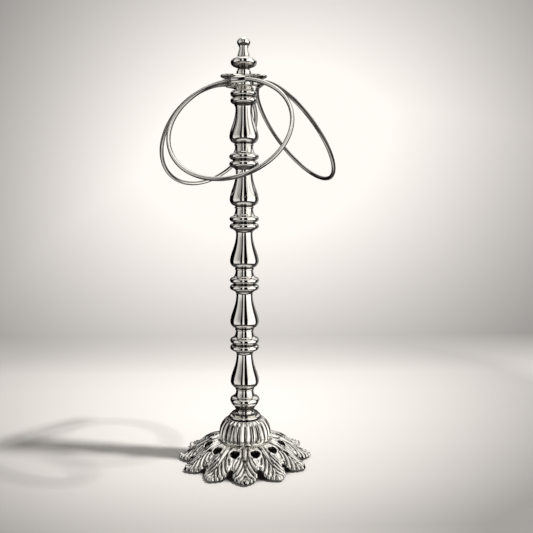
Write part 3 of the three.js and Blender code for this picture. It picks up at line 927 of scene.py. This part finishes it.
def camera():
    data = bpy.data.cameras.new("camera")
    data.sensor_width = CAMERA_SENSOR
    data.lens = CAMERA_LENS
    obj = bpy.data.objects.new("camera", data)
    obj.location = CAMERA_PLACE
    obj.rotation_euler = (math.radians(90 - CAMERA_TILT), 0, -math.radians(CAMERA_TURN))
    bpy.context.scene.collection.objects.link(obj)
    bpy.context.scene.camera = obj


def wall_colour(tree, direction):
    """Colour of the wall in a direction from the camera."""
    towards = tree.vector("DOT_PRODUCT", direction, heading(*BRIGHTEST_PLACE))
    away = tree.math("SUBTRACT", towards, 1.0)
    fall = tree.math("EXPONENT", tree.math("MULTIPLY", away, WALL_FALL))
    least = tree.ramp(towards, *ELSEWHERE_FADE, WALL_ELSEWHERE, WALL_LEAST)
    low_right = tree.vector("DOT_PRODUCT", direction, heading(*DIM_PLACE))
    brightest = tree.ramp(low_right, DIM_START, 1, WALL_BRIGHTEST, WALL_BRIGHTEST * DIM_SHARE)
    level = tree.math("MULTIPLY", tree.math("MAXIMUM", fall, least), brightest)
    return tree.mix(level, (0, 0, 0), WALL_TINT)


def studio_world():
    """Panels and dark gaps for the metal, an even fill for the floor, and a plain wall for the eye."""
    world = bpy.data.worlds.new("studio")
    bpy.context.scene.world = world
    world.use_nodes = True
    sky = Tree(world.node_tree)
    direction = sky.add("TexCoord").outputs["Generated"]
    x, y, z = sky.xyz(direction)
    azimuth = sky.math("DEGREES", sky.math("ARCTAN2", x, sky.math("MULTIPLY", y, -1.0)))
    low_walls = sky.levels(azimuth, LOW_WALLS, WARM)
    high_walls = sky.levels(azimuth, HIGH_WALLS, WARM)
    walls = sky.mix(sky.ramp(z, *LOW_WALLS_END, 0, 1), low_walls, high_walls)
    ceiling = sky.mix(sky.levels(y, CEILING_DEPTH), (0, 0, 0), sky.levels(x, CEILING_BANDS, WARM))
    behind = sky.math(
        "MULTIPLY", sky.ramp(z, *LOW_CEILING_START, 0, LOW_CEILING), sky.ramp(y, *LOW_CEILING_BEHIND, 0, 1))
    overhead = sky.math("MAXIMUM", sky.ramp(z, *HIGH_WALLS_END, 0, 1), behind)
    studio = sky.mix(overhead, walls, ceiling)
    studio = sky.mix(sky.ramp(z, *BELOW_END, 1, 0), studio, sky.levels(z, BELOW, WARM))
    path = sky.add("LightPath")
    fill = tuple(FLOOR_FILL * t for t in WARM)
    seen = sky.mix(path.outputs["Is Diffuse Ray"], studio, fill)
    seen = sky.mix(path.outputs["Is Camera Ray"], seen, wall_colour(sky, direction))
    sky.feed(seen, sky.tree.nodes["Background"].inputs["Color"])


def key_light():
    """The lamp that throws the shadow: to the right, a little in front."""
    data = bpy.data.lights.new("key", "AREA")
    data.shape = "DISK"
    data.size = LAMP_SIZE
    data.energy = LAMP_POWER
    obj = bpy.data.objects.new("key", data)
    away = heading(LAMP_AZIMUTH, LAMP_HEIGHT)
    obj.location = away * LAMP_DISTANCE
    obj.rotation_euler = away.to_track_quat("Z", "Y").to_euler()
    obj.visible_glossy = False
    bpy.context.scene.collection.objects.link(obj)


def floor_colour_and_painted_light(n, place, y, distance):
    """Pale paint with a painted pool of light behind the stand, and a painted shadow right under the base.
    """
    x = n.xyz(place)[0]
    # Painted pool of light, its width changing along y.
    width = n.ramp(y, POOL_NEAR[0], POOL_FAR[0], POOL_NEAR[1], POOL_FAR[1])
    across = n.math("SUBTRACT", n.math("DIVIDE", x, width), POOL_SHIFT)
    squared = n.math("MULTIPLY", across, across)
    painted_pool = n.math("EXPONENT", n.math("MULTIPLY", squared, -1.0))
    darkest = n.ramp(distance, *FAR_OUT, FLOOR_DARKEST, FLOOR_FAR_OUT)
    level = n.math("MAXIMUM", n.math("MULTIPLY", painted_pool, n.levels(y, FLOOR_DEPTH)), darkest)
    # Painted shadow under the base.
    painted_contact_shadow = n.ramp(distance, *CONTACT_EDGE, CONTACT_DARKNESS, 1)
    return n.mix(n.math("MULTIPLY", level, painted_contact_shadow), (0, 0, 0), FLOOR_PAINT)


def floor_material():
    """Pale paint with painted light and shadow, which melts into the wall behind it as a glow painted with
    the wall's shading.
    """
    n = Paint("floor_paint")
    place = n.add("TexCoord").outputs["Object"]
    y = n.xyz(place)[1]
    distance = n.vector("LENGTH", place)
    n.set(Base_Color=floor_colour_and_painted_light(n, place, y, distance), Roughness=0.5, Specular_IOR_Level=0.1)
    # Painted light: far off and behind, the floor glows with the wall's shading as seen from the camera's
    # place.
    direction = n.vector("NORMALIZE", n.vector("SUBTRACT", place, CAMERA_PLACE))
    glow = n.add("Emission")
    n.feed(wall_colour(n, direction), glow.inputs["Color"])
    melted = n.math("MAXIMUM", n.ramp(y, *MELT_BEHIND, 0, 1), n.ramp(distance, *MELT_ROUND, 0, 1))
    blend_shaders = n.add("MixShader")
    n.feed(melted, blend_shaders.inputs["Fac"])
    n.feed(n.shader.outputs[0], blend_shaders.inputs[1])
    n.feed(glow.outputs[0], blend_shaders.inputs[2])
    n.feed(blend_shaders.outputs[0], n.tree.nodes["Material Output"].inputs["Surface"])
    return n.material


def floor():
    circle = bmesh.new()
    bmesh.ops.create_circle(circle, cap_ends=True, segments=96, radius=FLOOR_R)
    obj = from_bmesh("floor", circle)
    obj.data.materials.append(floor_material())
    obj.visible_glossy = False


# ---- the stand ----------------------------------------------------------------------------
def hidden_parts():
    """Materials for the CAD pieces that are kept as they are, inside the stand and under it."""
    zinc, iron, felt = zinc_steel(), black_iron(), black_felt()
    hidden = {"tie_rod": zinc, "base_nut": zinc, "lock_washer": zinc, "ballast_disc": iron, "felt_pad": felt}
    for name, material in hidden.items():
        for material_slot in frame["nodes"][name].material_slots:
            material_slot.material = material


camera()
nickel = nickel_plate("polished_plate", 0.04, 0.09)
satin = nickel_plate("satin_plate", 0.15, 0.22)
column(nickel)
neck_and_cap(nickel)
fluted_dome(nickel)
leaf_base(nickel)
finial(nickel)
hub_plate(satin)
hub_bell(nickel)
rings(nickel, satin)
hidden_parts()

studio_world()
key_light()
floor()
bpy.context.scene.view_settings.view_transform = "Standard"
